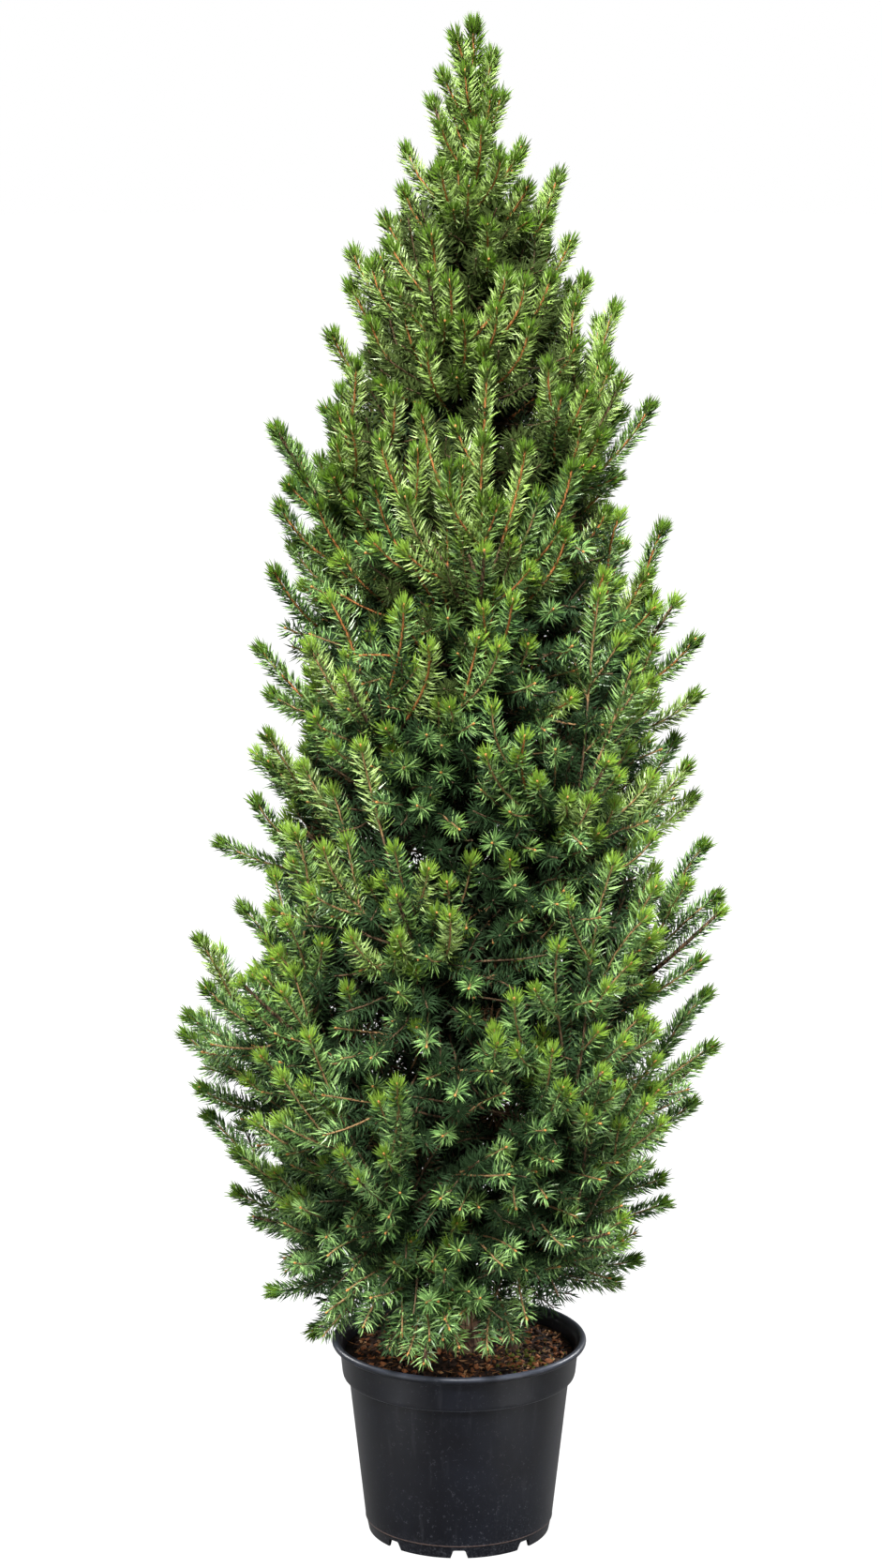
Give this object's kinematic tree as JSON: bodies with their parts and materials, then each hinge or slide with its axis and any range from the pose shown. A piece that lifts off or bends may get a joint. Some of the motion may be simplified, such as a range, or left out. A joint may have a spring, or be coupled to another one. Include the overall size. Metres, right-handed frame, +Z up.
{
  "type": "potted dwarf conical spruce",
  "caption": "Narrow cone-shaped dwarf spruce with dense needle sprays on upswept boughs, growing in soil in a round black nursery pot with a rolled rim and notched foot.",
  "frame": {"origin": "middle of the circle on which the pot's foot stands, at ground level", "axes": "+Z up along the pot axis; the pictured front looks along -Y; +X to the right in the picture"},
  "size_m": [0.5334, 0.5172, 1.54],
  "materials": {
    "pot": "satin",
    "soil": "matte",
    "bark": "matte",
    "needles": "matte"
  },
  "bodies": {
    "root": {"bough_01": "bark", "bough_02": "bark", "bough_03": "bark", "bough_04": "bark", "bough_05": "bark", "bough_06": "bark", "bough_07": "bark", "bough_08": "bark", "bough_09": "bark", "bough_10": "bark", "bough_11": "bark", "bough_12": "bark", "bough_13": "bark", "bough_14": "bark", "bough_15": "bark", "bough_16": "bark", "bough_17": "bark", "bough_18": "bark", "bough_19": "bark", "bough_20": "bark", "bough_21": "bark", "bough_22": "bark", "foliage_01": "needles", "foliage_02": "needles", "foliage_03": "needles", "foliage_04": "needles", "foliage_05": "needles", "foliage_06": "needles", "foliage_07": "needles", "foliage_08": "needles", "foliage_09": "needles", "foliage_10": "needles", "foliage_11": "needles", "foliage_12": "needles", "foliage_13": "needles", "foliage_14": "needles", "foliage_15": "needles", "foliage_16": "needles", "foliage_17": "needles", "foliage_18": "needles", "foliage_19": "needles", "foliage_20": "needles", "foliage_21": "needles", "foliage_22": "needles", "foliage_23": "needles", "foliage_24": "needles", "foliage_25": "needles", "foliage_26": "needles", "foliage_27": "needles", "foliage_28": "needles", "foliage_29": "needles", "leader": "needles", "pot": "pot", "soil": "soil", "trunk": "bark"}
  },
  "joints": []
}
